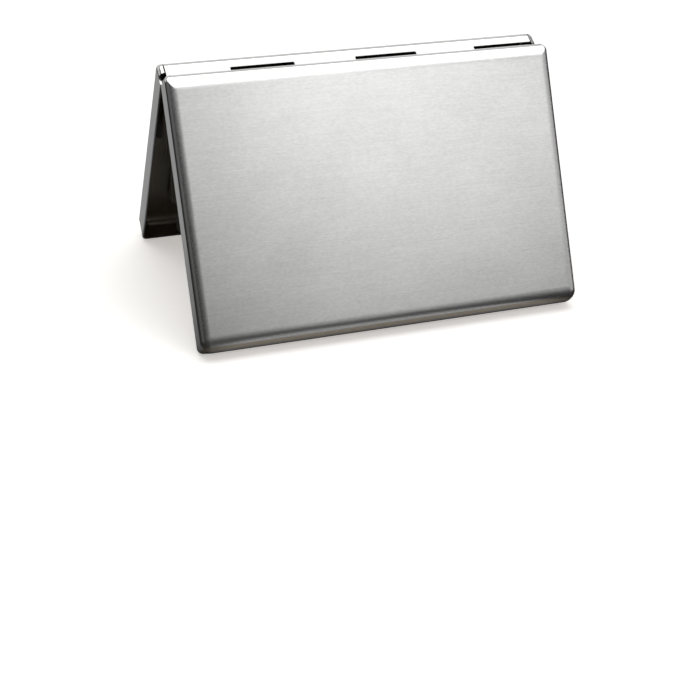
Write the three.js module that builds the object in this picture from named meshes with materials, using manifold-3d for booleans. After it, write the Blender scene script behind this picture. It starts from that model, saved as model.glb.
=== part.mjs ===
// Hinged sheet-steel business card case, standing open like a tent.
// Millimetres, +Z up. The row origin is on the floor, midway between the two standing rims.
//
// Every piece is drawn in the "closed frame": its origin is on the hinge axis, x runs along the hinge,
// y (called p, for "past the hinge") runs towards the latch and z (called w) runs through the thickness.
// The back shell lies at w > 0 and the front shell at w < 0. A group per leaf then turns about the hinge.
import * as THREE from 'three';
import { mergeVertices } from 'three/addons/utils/BufferGeometryUtils.js';
import Module from 'manifold-3d';

const wasm = await Module();
wasm.setup();

// Driving dimensions of the case
const CASE_WIDTH = 96.2;
const CASE_HEIGHT = 64.5;
const SHELL_DEPTH = 6.5;
const SHEET = 0.5;
const LONG_FILLET = 3;
const SIDE_FILLET = 1.8;
const FILLET_SEGMENTS = 6;
const HINGE_CORNER = 1.5;
const LATCH_CORNER = 2.8;
const LATCH_RIM_CORNER = 1.4;
const LEAST_CORNER = 0.4;
const SEAM_GAP = 0.3;
const OPEN_ANGLE = THREE.MathUtils.degToRad(58);
const CLEARANCE = 0.3;
const CUT_MARGIN = 1;

// Hinge: six equal knuckles curled out of the two hinge walls, round one plain wire pin
const KNUCKLE_PITCH = 15.53;
const KNUCKLE_COUNT = 6;
const KNUCKLE_RADIUS = 1.4;
const KNUCKLE_END_GAP = 0.2;
const NOTCH_END_GAP = 0.1;
const NOTCH_DEPTH = 2.3;
const SLIT_WIDTH = 0.3;
const SLIT_TOP = 5;
const SLIT_REACH = 1.1;
const PIN_RADIUS = 0.6;

// Latch: release bar, flat spring, hook and rivets on the back shell, scooped catch on the front shell
const LATCH_LINE = 2.3;
const BAR_LENGTH = 24;
const BAR_WIDTH = 1.8;
const BAR_PROUD = 0.8;
const BAR_ROUND = 0.35;
const SPRING_LENGTH = 60;
const SPRING_WIDTH = 3.2;
const SPRING_THICKNESS = 0.35;
const SPRING_STAND_OFF = 0.75;
const RIVET_SPACING = 54;
const RIVET_HEAD_RADIUS = 1.15;
const RIVET_HEAD_HEIGHT = 0.6;
const RIVET_SHANK_RADIUS = 0.6;
const RIVET_TAIL_RADIUS = 1;
const RIVET_TAIL_HEIGHT = 0.3;
const RIVET_TAIL_GAP = 0.5;
const HOOK_WIDTH = 4.4;
const HOOK_REACH = 2.3;
const HOOK_SHEET = 0.4;
const HOOK_TOE = 0.9;
const HOOK_TOE_SHEET = 0.35;
const CATCH_HALF_WIDTH = 2.5;
const CATCH_DEPTH = 1.7;
const CATCH_CHORD = 1.65;
const CATCH_RISE = 1.2;

// Card insert: two outer panels, five leaves between them and six pleated gussets, making six pockets
const POCKET_COUNT = 6;
const LEAF_THICKNESS = 0.4;
const LEAF_PITCH = 1.6;
const PANEL_THICKNESS = 0.45;
const PANEL_INNER_FACE = 4.65;
const LEAF_START = 2.6;
const LEAF_MOUTH = 53.6;
const EAR_HALF_WIDTH = 46.2;
const LEAF_HALF_WIDTH = 41;
const LEAF_CORNER = 3;
const EAR_CORNER = 1.2;
const EAR_REACH = [34, 33, 32, 31, 21, 20, 26];
const THUMB_RADIUS = 9;
const GUSSET_SHEET = 0.25;
const GUSSET_RIDGE = 1.1;
const GUSSET_EDGE = 46;
const TAPE_THICKNESS = 0.3;
const TAPE_SIZE = [76, 36];
const TAPE_CENTRE = 24;

const CORNER_SEGMENTS = 5;
const ROUND_SEGMENTS = 12;

const halfOpen = OPEN_ANGLE / 2;
const halfWidth = CASE_WIDTH / 2;
const hingeInset = KNUCKLE_RADIUS;
const hingeWall = -hingeInset;
const latchWall = CASE_HEIGHT - hingeInset;
const latchWallInside = latchWall - SHEET;
const springOutside = latchWallInside - SPRING_STAND_OFF;
const springInside = springOutside - SPRING_THICKNESS;
const rim = SEAM_GAP / 2;
const hingeHalf = (KNUCKLE_PITCH * KNUCKLE_COUNT) / 2;
const hingeHeight = latchWall * Math.cos(halfOpen) - rim * Math.sin(halfOpen);

const steel = { color: 0xb9bcbd, metalness: 1, roughness: 0.32 };
const polished = { color: 0xc9cccd, metalness: 1, roughness: 0.12 };
const spring = { color: 0x8d9194, metalness: 1, roughness: 0.25 };
const plastic = { color: 0x1b1a1c, metalness: 0, roughness: 0.55 };
const tape = { color: 0xd9d6cc, metalness: 0, roughness: 0.8 };

// A three.js geometry as a solid for joining and cutting
function solid(geometry) {
  const bare = geometry.index ? geometry.toNonIndexed() : geometry.clone();
  bare.deleteAttribute('normal');
  bare.deleteAttribute('uv');
  const merged = mergeVertices(bare, 1e-4);
  return new wasm.Manifold(new wasm.Mesh({
    numProp: 3,
    vertProperties: merged.attributes.position.array,
    triVerts: new Uint32Array(merged.index.array),
  }));
}

// A solid back as a named three.js mesh
function piece(name, look, body) {
  const mesh = body.getMesh();
  const geometry = new THREE.BufferGeometry();
  geometry.setAttribute('position', new THREE.BufferAttribute(mesh.vertProperties, 3));
  geometry.setIndex(new THREE.BufferAttribute(mesh.triVerts, 1));
  const shown = new THREE.Mesh(geometry, new THREE.MeshStandardMaterial(look));
  shown.name = name;
  return shown;
}

function box(x0, x1, p0, p1, w0, w1) {
  const geometry = new THREE.BoxGeometry(x1 - x0, p1 - p0, w1 - w0);
  geometry.translate((x0 + x1) / 2, (p0 + p1) / 2, (w0 + w1) / 2);
  return solid(geometry);
}

// Rectangle with round corners, in x and p: one radius at the hinge side and one at the latch side
function roundedRectangle(x0, x1, p0, p1, hingeRadius, latchRadius) {
  const shape = new THREE.Shape();
  shape.absarc(x1 - hingeRadius, p0 + hingeRadius, hingeRadius, -Math.PI / 2, 0);
  shape.absarc(x1 - latchRadius, p1 - latchRadius, latchRadius, 0, Math.PI / 2);
  shape.absarc(x0 + latchRadius, p1 - latchRadius, latchRadius, Math.PI / 2, Math.PI);
  shape.absarc(x0 + hingeRadius, p0 + hingeRadius, hingeRadius, Math.PI, 1.5 * Math.PI);
  shape.closePath();
  return shape;
}

function stadium(length, width) {
  const shape = new THREE.Shape();
  const centre = (length - width) / 2;
  shape.absarc(centre, 0, width / 2, -Math.PI / 2, Math.PI / 2);
  shape.absarc(-centre, 0, width / 2, Math.PI / 2, 1.5 * Math.PI);
  shape.closePath();
  return shape;
}

// A plate through the latch wall: its outline is in x and w, and it runs from p0 to p1
function latchPlate(shape, p0, p1, bevel = 0) {
  const geometry = new THREE.ExtrudeGeometry(shape, {
    depth: p1 - p0 - 2 * bevel,
    bevelEnabled: bevel > 0,
    bevelThickness: bevel,
    bevelSize: bevel,
    bevelOffset: -bevel,
    bevelSegments: 2,
    curveSegments: CORNER_SEGMENTS,
  });
  geometry.rotateX(-Math.PI / 2);
  geometry.translate(0, p0 + bevel, LATCH_LINE);
  return solid(geometry);
}

// A closed body through rings of as many points each, capped with a fan at both ends
function loft(rings) {
  const count = rings[0].length;
  const index = [];
  for (let level = 0; level + 1 < rings.length; level += 1) {
    for (let i = 0; i < count; i += 1) {
      const here = level * count + i;
      const next = level * count + ((i + 1) % count);
      index.push(here, next, next + count, here, next + count, here + count);
    }
  }
  const last = (rings.length - 1) * count;
  for (let i = 1; i + 1 < count; i += 1) {
    index.push(0, i + 1, i);
    index.push(last, last + i, last + i + 1);
  }
  const geometry = new THREE.BufferGeometry();
  geometry.setAttribute('position', new THREE.Float32BufferAttribute(rings.flat(2), 3));
  geometry.setIndex(index);
  return solid(geometry);
}

// How far a fillet stands back from the wall it starts on, at a rise above its foot
function filletOffset(radius, rise) {
  const up = Math.max(rise, 0);
  return radius - Math.sqrt(Math.max(radius * radius - up * up, 0));
}

// One pressed block, open-ended below the rim: its outer face, at w = top, has wide fillets along the hinge
// and latch edges and narrower ones along the two short edges. The latch corners grow rounder above the rim.
function pressedBlock(inset, top) {
  const below = 2;
  const long = LONG_FILLET - inset;
  const short = SIDE_FILLET - inset;
  const foot = top - long;
  const heights = [-below, 0];
  for (let step = 0; step <= FILLET_SEGMENTS; step += 1) {
    const angle = (step / FILLET_SEGMENTS) * (Math.PI / 2);
    heights.push(top - long * (1 - Math.sin(angle)));
  }
  return loft(heights.map((w) => {
    const side = filletOffset(short, w - (top - short));
    const edge = filletOffset(long, w - foot);
    const setBack = inset + (side + edge) / 2;
    const rise = THREE.MathUtils.clamp(w / foot, 0, 1);
    const latchCorner = THREE.MathUtils.lerp(LATCH_RIM_CORNER, LATCH_CORNER, rise);
    const x = halfWidth - inset - side;
    const outline = roundedRectangle(
      -x, x, hingeWall + inset + edge, latchWall - inset - edge,
      Math.max(HINGE_CORNER - setBack, LEAST_CORNER), Math.max(latchCorner - setBack, LEAST_CORNER));
    return outline.getPoints(CORNER_SEGMENTS).slice(0, -1).map((point) => [point.x, point.y, w]);
  }));
}

function tube(x0, x1, outer, inner) {
  const ring = new THREE.Shape();
  ring.absarc(0, 0, outer, 0, 2 * Math.PI);
  if (inner) {
    const hole = new THREE.Path();
    hole.absarc(0, 0, inner, 0, 2 * Math.PI, true);
    ring.holes.push(hole);
  }
  const geometry = new THREE.ExtrudeGeometry(ring, {
    depth: x1 - x0,
    bevelEnabled: false,
    curveSegments: ROUND_SEGMENTS / 2,
  });
  geometry.rotateY(Math.PI / 2);
  geometry.translate(x0, 0, 0);
  return solid(geometry);
}

// A shell tray lying at w > 0. firstKnuckle is 0 or 1: which of the six segments its knuckles start from
function shellTray(firstKnuckle) {
  let tray = pressedBlock(0, SHELL_DEPTH).subtract(pressedBlock(SHEET, SHELL_DEPTH - SHEET));
  tray = tray.intersect(box(
    -halfWidth - CUT_MARGIN, halfWidth + CUT_MARGIN, hingeWall - CUT_MARGIN, latchWall + CUT_MARGIN,
    rim, SHELL_DEPTH + CUT_MARGIN));
  for (let segment = 0; segment < KNUCKLE_COUNT; segment += 1) {
    const start = -hingeHalf + segment * KNUCKLE_PITCH;
    const end = start + KNUCKLE_PITCH;
    if (segment % 2 === firstKnuckle) {
      tray = tray.add(tube(
        start + KNUCKLE_END_GAP, end - KNUCKLE_END_GAP, KNUCKLE_RADIUS, KNUCKLE_RADIUS - SHEET));
    } else {
      tray = tray.subtract(box(
        start - NOTCH_END_GAP, end + NOTCH_END_GAP, hingeWall - CUT_MARGIN, rim, 0, NOTCH_DEPTH));
    }
  }
  // Past the last knuckle both rims are cut back, so that the corners clear each other as the case opens,
  // and a slit parts the curled hinge wall from the corner
  for (const side of [-1, 1]) {
    const inner = side * (hingeHalf - NOTCH_END_GAP);
    const outer = side * (halfWidth + CUT_MARGIN);
    tray = tray.subtract(box(
      Math.min(inner, outer), Math.max(inner, outer), hingeWall - CUT_MARGIN, rim, 0, NOTCH_DEPTH));
    const slit = inner + side * SLIT_WIDTH;
    tray = tray.subtract(box(
      Math.min(inner, slit), Math.max(inner, slit), hingeWall - CUT_MARGIN, hingeWall + SLIT_REACH, 0, SLIT_TOP));
  }
  return tray;
}

function ellipsoid(x, p, w, centre) {
  const geometry = new THREE.SphereGeometry(1, 16, 8);
  geometry.scale(x, p, w);
  geometry.translate(...centre);
  return solid(geometry);
}

// Half-moon scoop pressed inwards out of the front shell's latch wall: the hook snaps in under its edge
function addCatch(shell) {
  const centre = [0, latchWall, -CATCH_CHORD];
  const outside = ellipsoid(CATCH_HALF_WIDTH, CATCH_DEPTH, CATCH_RISE, centre);
  const inside = ellipsoid(CATCH_HALF_WIDTH - SHEET, CATCH_DEPTH - SHEET, CATCH_RISE - SHEET, centre);
  const side = CATCH_HALF_WIDTH + CUT_MARGIN;
  const deep = latchWall - CATCH_DEPTH - CUT_MARGIN;
  const upper = box(-side, side, deep, latchWall, -CATCH_CHORD, 0);
  const through = box(-side, side, deep, latchWall + CUT_MARGIN, -CATCH_CHORD, 0);
  return shell.add(outside.intersect(upper)).subtract(inside.intersect(through));
}

function rivet(name, x) {
  const tailStart = springInside - RIVET_TAIL_GAP;
  const tailEnd = tailStart - RIVET_TAIL_HEIGHT;
  const headStart = latchWall + CLEARANCE;
  const profile = [
    new THREE.Vector2(0, tailEnd),
    new THREE.Vector2(RIVET_TAIL_RADIUS, tailEnd),
    new THREE.Vector2(RIVET_TAIL_RADIUS, tailStart),
    new THREE.Vector2(RIVET_SHANK_RADIUS, tailStart),
    new THREE.Vector2(RIVET_SHANK_RADIUS, headStart),
  ];
  const domeSteps = 4;
  for (let step = 0; step < domeSteps; step += 1) {
    const angle = (step / domeSteps) * (Math.PI / 2);
    profile.push(new THREE.Vector2(
      RIVET_HEAD_RADIUS * Math.cos(angle), headStart + RIVET_HEAD_HEIGHT * Math.sin(angle)));
  }
  profile.push(new THREE.Vector2(0, headStart + RIVET_HEAD_HEIGHT));
  const geometry = new THREE.LatheGeometry(profile, ROUND_SEGMENTS);
  geometry.translate(x, 0, LATCH_LINE);
  return piece(name, polished, solid(geometry));
}

// Leaf outline: ears as wide as the case near the hinge, a narrower tongue to the mouth, a thumb cut-out
function leafOutline(reach) {
  const shape = new THREE.Shape();
  shape.moveTo(-EAR_HALF_WIDTH, LEAF_START);
  shape.lineTo(EAR_HALF_WIDTH, LEAF_START);
  shape.absarc(EAR_HALF_WIDTH - EAR_CORNER, reach - EAR_CORNER, EAR_CORNER, 0, Math.PI / 2);
  shape.lineTo(LEAF_HALF_WIDTH, reach + EAR_CORNER);
  shape.absarc(LEAF_HALF_WIDTH - LEAF_CORNER, LEAF_MOUTH - LEAF_CORNER, LEAF_CORNER, 0, Math.PI / 2);
  shape.absarc(0, LEAF_MOUTH, THUMB_RADIUS, 0, Math.PI, true);
  shape.absarc(-LEAF_HALF_WIDTH + LEAF_CORNER, LEAF_MOUTH - LEAF_CORNER, LEAF_CORNER, Math.PI / 2, Math.PI);
  shape.lineTo(-LEAF_HALF_WIDTH, reach + EAR_CORNER);
  shape.absarc(-EAR_HALF_WIDTH + EAR_CORNER, reach - EAR_CORNER, EAR_CORNER, Math.PI / 2, Math.PI);
  shape.closePath();
  return shape;
}

function leaf(name, reach, w0, w1) {
  const geometry = new THREE.ExtrudeGeometry(leafOutline(reach), {
    depth: w1 - w0,
    bevelEnabled: false,
    curveSegments: CORNER_SEGMENTS,
  });
  geometry.translate(0, 0, w0);
  return piece(name, plastic, solid(geometry));
}

const leafStep = OPEN_ANGLE / POCKET_COUNT;
const leafAngle = (index) => -halfOpen + index * leafStep;
const leafOffset = (index) => (index - POCKET_COUNT / 2) * LEAF_PITCH;

// Half the free width of a pocket, p past the hinge, seen in the plane midway between its two leaves
function pocketHalfGap(index, p) {
  const nextToPanel = index === 1 || index === POCKET_COUNT;
  const closedGap = nextToPanel
    ? PANEL_INNER_FACE - (POCKET_COUNT / 2 - 1) * LEAF_PITCH - LEAF_THICKNESS / 2
    : LEAF_PITCH - LEAF_THICKNESS;
  return closedGap / 2 + p * Math.tan(leafStep / 2) - CLEARANCE;
}

// w of the middle of a pocket when the case is closed
function pocketMiddle(index) {
  if (index === 1) {
    return (leafOffset(1) - LEAF_THICKNESS / 2 - PANEL_INNER_FACE) / 2;
  }
  if (index === POCKET_COUNT) {
    return (leafOffset(POCKET_COUNT - 1) + LEAF_THICKNESS / 2 + PANEL_INNER_FACE) / 2;
  }
  return (leafOffset(index - 1) + leafOffset(index)) / 2;
}

// Left side pleat of a gusset: a V-section whose ridge points inwards, growing wider and deeper towards the
// mouth. Its depth stays in proportion to the pocket's gap, which keeps both panels of the V flat.
// Column 0 is the outer edge, 1 the same edge one sheet further in, 2 the ridge and 3 the ridge's inner corner.
function leftPleat(index, start, end) {
  const chevron = new THREE.Shape();
  chevron.moveTo(0, -1);
  chevron.lineTo(1, -1);
  chevron.lineTo(3, 0);
  chevron.lineTo(1, 1);
  chevron.lineTo(0, 1);
  chevron.lineTo(2, 0);
  chevron.closePath();
  const geometry = new THREE.ExtrudeGeometry(chevron, { depth: end - start, bevelEnabled: false });
  const skin = GUSSET_SHEET * Math.hypot(1, 1 / GUSSET_RIDGE);
  const position = geometry.attributes.position;
  for (let i = 0; i < position.count; i += 1) {
    const column = Math.round(position.getX(i));
    const side = position.getY(i);
    const p = start + position.getZ(i);
    const gap = pocketHalfGap(index, p);
    const ridge = gap * GUSSET_RIDGE;
    const inset = [0, 0, ridge, ridge - skin * GUSSET_RIDGE][column];
    const spread = column === 1 ? gap - skin : gap;
    position.setXYZ(i, -GUSSET_EDGE + inset, p, side * spread);
  }
  return solid(geometry);
}

// A gusset: two side pleats joined by a plain strip along the hinge side
function gusset(index) {
  const start = LEAF_START + CLEARANCE;
  const end = Math.min(EAR_REACH[index - 1], EAR_REACH[index]) - EAR_CORNER;
  const half = pocketHalfGap(index, start) - GUSSET_SHEET / 4;
  const strip = box(
    -GUSSET_EDGE + GUSSET_SHEET, GUSSET_EDGE - GUSSET_SHEET, start, start + GUSSET_SHEET, -half, half);
  const left = leftPleat(index, start + GUSSET_SHEET / 2, end);
  return piece(`gusset_${index}`, plastic, strip.add(left).add(left.mirror([1, 0, 0])));
}

// A group turned about the hinge axis: angle 0 hangs straight down, positive swings towards the back
const scene = new THREE.Group();
function hang(angle, ...pieces) {
  const group = new THREE.Group();
  group.rotation.x = angle - Math.PI / 2;
  group.position.z = hingeHeight;
  group.add(...pieces);
  scene.add(group);
  return group;
}

// Front shell: the same tray turned over to w < 0, with the catch
function frontShell() {
  const tray = shellTray(1).mirror([0, 0, 1]);
  return piece('front_shell', steel, addCatch(tray));
}

// Back shell: the tray with the release bar's slot and two rivet holes
function backShell() {
  let tray = shellTray(0);
  const slot = stadium(BAR_LENGTH + 2 * CLEARANCE, BAR_WIDTH + 2 * CLEARANCE);
  tray = tray.subtract(latchPlate(slot, latchWallInside - CUT_MARGIN, latchWall + CUT_MARGIN));
  for (const side of [-1, 1]) {
    const hole = new THREE.CylinderGeometry(
      RIVET_SHANK_RADIUS + CLEARANCE, RIVET_SHANK_RADIUS + CLEARANCE, 4 * CUT_MARGIN, ROUND_SEGMENTS);
    hole.translate((side * RIVET_SPACING) / 2, latchWall, LATCH_LINE);
    tray = tray.subtract(solid(hole));
  }
  return piece('back_shell', steel, tray);
}

function latchSpring() {
  let strip = latchPlate(stadium(SPRING_LENGTH, SPRING_WIDTH), springInside, springOutside);
  for (const side of [-1, 1]) {
    const hole = new THREE.CylinderGeometry(
      RIVET_SHANK_RADIUS + CLEARANCE, RIVET_SHANK_RADIUS + CLEARANCE, 4 * CUT_MARGIN, ROUND_SEGMENTS);
    hole.translate((side * RIVET_SPACING) / 2, springInside, LATCH_LINE);
    strip = strip.subtract(solid(hole));
  }
  return piece('latch_spring', spring, strip);
}

function releaseBar() {
  const bar = latchPlate(
    stadium(BAR_LENGTH, BAR_WIDTH), springOutside + CLEARANCE, latchWall + BAR_PROUD, BAR_ROUND);
  return piece('release_bar', polished, bar);
}

// Hook: a plate behind the spring that reaches past the rim and turns outwards at its toe
function latchHook() {
  const face = springInside - CLEARANCE;
  const back = face - HOOK_SHEET;
  const top = LATCH_LINE + SPRING_WIDTH / 2;
  const profile = new THREE.Shape();
  profile.moveTo(back, -HOOK_REACH);
  profile.lineTo(back + HOOK_TOE, -HOOK_REACH);
  profile.lineTo(back + HOOK_TOE, -HOOK_REACH + HOOK_TOE_SHEET);
  profile.lineTo(face, -HOOK_REACH + HOOK_TOE_SHEET);
  profile.lineTo(face, top);
  profile.lineTo(back, top);
  profile.closePath();
  const geometry = new THREE.ExtrudeGeometry(profile, { depth: HOOK_WIDTH, bevelEnabled: false });
  geometry.translate(0, 0, -HOOK_WIDTH / 2);
  const turn = new THREE.Matrix4().makeBasis(
    new THREE.Vector3(0, 1, 0), new THREE.Vector3(0, 0, 1), new THREE.Vector3(1, 0, 0));
  geometry.applyMatrix4(turn);
  return piece('latch_hook', spring, solid(geometry));
}

function tapePad(name, side) {
  const outer = SHELL_DEPTH - SHEET - CLEARANCE;
  const inner = outer - TAPE_THICKNESS;
  const [width, length] = TAPE_SIZE;
  const pad = box(
    -width / 2, width / 2, TAPE_CENTRE - length / 2, TAPE_CENTRE + length / 2,
    Math.min(side * inner, side * outer), Math.max(side * inner, side * outer));
  return piece(name, tape, pad);
}

const panelOuterFace = PANEL_INNER_FACE + PANEL_THICKNESS;
hang(
  -halfOpen,
  frontShell(),
  tapePad('front_tape', -1),
  leaf('front_panel', EAR_REACH[0], -panelOuterFace, -PANEL_INNER_FACE));
hang(
  halfOpen,
  backShell(),
  latchSpring(),
  releaseBar(),
  latchHook(),
  rivet('latch_rivet_left', -RIVET_SPACING / 2),
  rivet('latch_rivet_right', RIVET_SPACING / 2),
  tapePad('back_tape', 1),
  leaf('back_panel', EAR_REACH[POCKET_COUNT], PANEL_INNER_FACE, panelOuterFace),
  piece('hinge_pin', polished, tube(-hingeHalf + KNUCKLE_END_GAP, hingeHalf - KNUCKLE_END_GAP, PIN_RADIUS)));
for (let index = 1; index < POCKET_COUNT; index += 1) {
  const middle = leafOffset(index);
  hang(leafAngle(index), leaf(
    `leaf_${index}`, EAR_REACH[index], middle - LEAF_THICKNESS / 2, middle + LEAF_THICKNESS / 2));
}
for (let index = 1; index <= POCKET_COUNT; index += 1) {
  const ribbon = gusset(index);
  ribbon.position.z = pocketMiddle(index);
  hang((leafAngle(index - 1) + leafAngle(index)) / 2, ribbon);
}

export default scene;
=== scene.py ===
"""Looks for a hinged sheet-steel business card case that stands open like a tent.

Every piece is drawn in the closed frame, in millimetres: x along the hinge, p from the hinge towards the
latch and w through the thickness, with the origin on the hinge axis. place() turns it into the row frame.
"""
import math

import bmesh
import bpy
import numpy as np
from mathutils import Matrix, Vector

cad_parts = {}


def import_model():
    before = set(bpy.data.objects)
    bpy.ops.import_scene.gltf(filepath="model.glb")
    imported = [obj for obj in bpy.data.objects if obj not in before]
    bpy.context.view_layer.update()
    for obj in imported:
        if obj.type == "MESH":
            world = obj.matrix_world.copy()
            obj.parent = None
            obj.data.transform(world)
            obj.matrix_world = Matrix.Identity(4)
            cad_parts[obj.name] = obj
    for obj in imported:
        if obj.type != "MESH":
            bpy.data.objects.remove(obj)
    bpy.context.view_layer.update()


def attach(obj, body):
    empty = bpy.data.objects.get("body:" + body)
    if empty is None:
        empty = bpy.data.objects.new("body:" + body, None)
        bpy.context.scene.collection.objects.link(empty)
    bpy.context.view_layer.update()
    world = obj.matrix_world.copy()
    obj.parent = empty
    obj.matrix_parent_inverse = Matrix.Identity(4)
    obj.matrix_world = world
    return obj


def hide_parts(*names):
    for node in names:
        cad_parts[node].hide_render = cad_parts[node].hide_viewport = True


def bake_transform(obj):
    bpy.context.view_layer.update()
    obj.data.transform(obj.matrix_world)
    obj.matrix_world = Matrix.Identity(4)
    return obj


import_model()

MM = 0.001

# Case dimensions, in millimetres, as in the CAD
CASE_WIDTH = 96.2
CASE_HEIGHT = 64.5
SHELL_DEPTH = 6.5
SHEET = 0.5
LONG_FILLET = 3.0
SIDE_FILLET = 1.8
HINGE_CORNER = 1.5
LATCH_CORNER = 2.8
LATCH_RIM_CORNER = 1.4
LEAST_CORNER = 0.4
# The visible pressing eases into its faces: its bend radii, how much wider they start and over what turn
LONG_BEND = 2.65
SIDE_BEND = 1.6
EASE = 2.6
EASE_TURN = math.radians(36.0)
RIM = 0.15
RIM_ROUND = 0.12
HALF_OPEN = math.radians(29.0)
CLEARANCE = 0.3

KNUCKLE_PITCH = 15.53
KNUCKLE_COUNT = 6
KNUCKLE_RADIUS = 1.4
KNUCKLE_END_GAP = 0.2
# The curl leaves its wall at this w, turns round the pin to this angle and stops just short of the wall
KNUCKLE_ROOT = 1.2
CURL_START = 180
CURL_END = 360 + 118
NOTCH_END_GAP = 0.1
NOTCH_DEPTH = 2.3
SLIT_WIDTH = 0.3
SLIT_TOP = 5.0
SLIT_REACH = 1.1
NOTCH_CORNER = 0.3
PIN_RADIUS = 0.6

LATCH_LINE = 2.3
BAR_LENGTH = 24.0
BAR_WIDTH = 1.8
BAR_PROUD = 0.8
BAR_ROUND = 0.3
SPRING_LENGTH = 60.0
SPRING_WIDTH = 3.2
SPRING_THICKNESS = 0.35
SPRING_STAND_OFF = 0.75
SPRING_ROUND = 0.06
# How far from the middle the rivets stand that hold each half of the spring
RIVET_AT = 27.0
RIVET_SHANK = 0.6
RIVET_PLAY = 0.2
RIVET_TAIL_HEIGHT = 0.3
# The rivet's tail, the foot of its head and the dimple in its head: (distance along p, radius)
RIVET_TAIL = ((0, 0.82), (0.06, 0.96), (0.12, 1.0), (RIVET_TAIL_HEIGHT, 1.0),
              (RIVET_TAIL_HEIGHT, RIVET_SHANK))
RIVET_HEAD = ((0, RIVET_SHANK), (0, 1.08), (0.04, 1.13), (0.1, 1.15))
RIVET_DIMPLE = ((0.50, 0.34), (0.50, 0.28), (0.56, 0.2), (0.58, 0.1))
DOME_FOOT = 0.1
DOME_RISE = 0.42
DOME_TOP_RADIUS = 0.38
DOME_SPREAD = 0.77
HOOK_WIDTH = 4.4
HOOK_REACH = 2.3
HOOK_SHEET = 0.4
HOOK_TOE = 0.9
HOOK_TOE_SHEET = 0.35
HOOK_BEND = 0.2
HOOK_ROUND = 0.1
CATCH_HALF_WIDTH = 2.5
CATCH_DEPTH = 1.7
CATCH_CHORD = 1.65
CATCH_RISE = 1.2

POCKETS = 6
LEAF_THICKNESS = 0.4
LEAF_PITCH = 1.6
PANEL_THICKNESS = 0.45
PANEL_INNER_FACE = 4.65
LEAF_START = 2.6
LEAF_MOUTH = 53.6
EAR_HALF_WIDTH = 46.2
LEAF_HALF_WIDTH = 41.0
LEAF_CORNER = 3.0
EAR_CORNER = 1.2
EAR_REACH = (34, 33, 32, 31, 21, 20, 26)
THUMB_RADIUS = 9.0
GUSSET_SHEET = 0.25
GUSSET_RIDGE = 1.1
GUSSET_EDGE = 46.0
# The round of a pleat's ridge: its size, and the most it may be as a share of half the gap
PLEAT_ROUND = 0.35
PLEAT_ROUND_SHARE = 0.4
TAPE_THICKNESS = 0.3
TAPE_SIZE = (76.0, 36.0)
TAPE_CENTRE = 24.0
TAPE_CORNER = 0.4

half_width = CASE_WIDTH / 2
hinge_wall = -KNUCKLE_RADIUS
latch_wall = CASE_HEIGHT - KNUCKLE_RADIUS
latch_wall_inside = latch_wall - SHEET
hinge_half = KNUCKLE_PITCH * KNUCKLE_COUNT / 2
hinge_height = latch_wall * math.cos(HALF_OPEN) - RIM * math.sin(HALF_OPEN)
spring_outside = latch_wall_inside - SPRING_STAND_OFF
spring_inside = spring_outside - SPRING_THICKNESS
leaf_step = 2 * HALF_OPEN / POCKETS


# ---------------------------------------------------------------- geometry helpers

def place(angle):
    """The matrix from the closed frame in mm to the row frame in metres, for a leaf hung at angle."""
    s, c = math.sin(angle), math.cos(angle)
    return Matrix((
        (MM, 0, 0, 0),
        (0, MM * s, MM * c, 0),
        (0, -MM * c, MM * s, MM * hinge_height),
        (0, 0, 0, 1)))


def arc(cx, cy, radius, start, end, steps):
    """Points of an arc, in degrees, both ends included."""
    angles = np.radians(np.linspace(start, end, steps + 1))
    return [(cx + radius * math.cos(a), cy + radius * math.sin(a)) for a in angles]


def rounded_rectangle(x0, x1, y0, y1, near, far, steps):
    """A rectangle with one corner radius at y0 and another at y1."""
    return (arc(x1 - near, y0 + near, near, -90, 0, steps)
            + arc(x1 - far, y1 - far, far, 0, 90, steps)
            + arc(x0 + far, y1 - far, far, 90, 180, steps)
            + arc(x0 + near, y0 + near, near, 180, 270, steps))


def stadium(length, width, steps=24):
    """A slot's outline: two half circles joined by straight sides."""
    centre = (length - width) / 2
    return arc(centre, 0, width / 2, -90, 90, steps) + arc(-centre, 0, width / 2, 90, 270, steps)


def inset(outline, distance):
    """A closed anticlockwise outline moved inwards."""
    points = np.array(outline, float)
    before = points - np.roll(points, 1, 0)
    after = np.roll(points, -1, 0) - points
    before /= np.linalg.norm(before, axis=1)[:, None]
    after /= np.linalg.norm(after, axis=1)[:, None]
    n1 = np.stack([-before[:, 1], before[:, 0]], 1)
    n2 = np.stack([-after[:, 1], after[:, 0]], 1)
    miter = (n1 + n2) / (1 + (n1 * n2).sum(1))[:, None]
    return points + distance * miter


def loft(rings):
    """A closed bmesh through rings of as many points each, capped at both ends."""
    bm = bmesh.new()
    loops = [[bm.verts.new(p) for p in ring] for ring in rings]
    count = len(loops[0])
    for low, high in zip(loops, loops[1:]):
        for i in range(count):
            j = (i + 1) % count
            bm.faces.new((low[i], low[j], high[j], high[i]))
    bm.faces.new(list(reversed(loops[0])))
    bm.faces.new(loops[-1])
    bmesh.ops.recalc_face_normals(bm, faces=bm.faces)
    return bm


def xpw(a, b, c):
    """Outline in x and p, thickness along w."""
    return (a, b, c)


def latchwards(a, b, c):
    """Outline in x and w, thickness along p."""
    return (a, c, b)


def hingewise(a, b, c):
    """Outline in p and w, thickness along x."""
    return (c, a, b)


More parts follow.
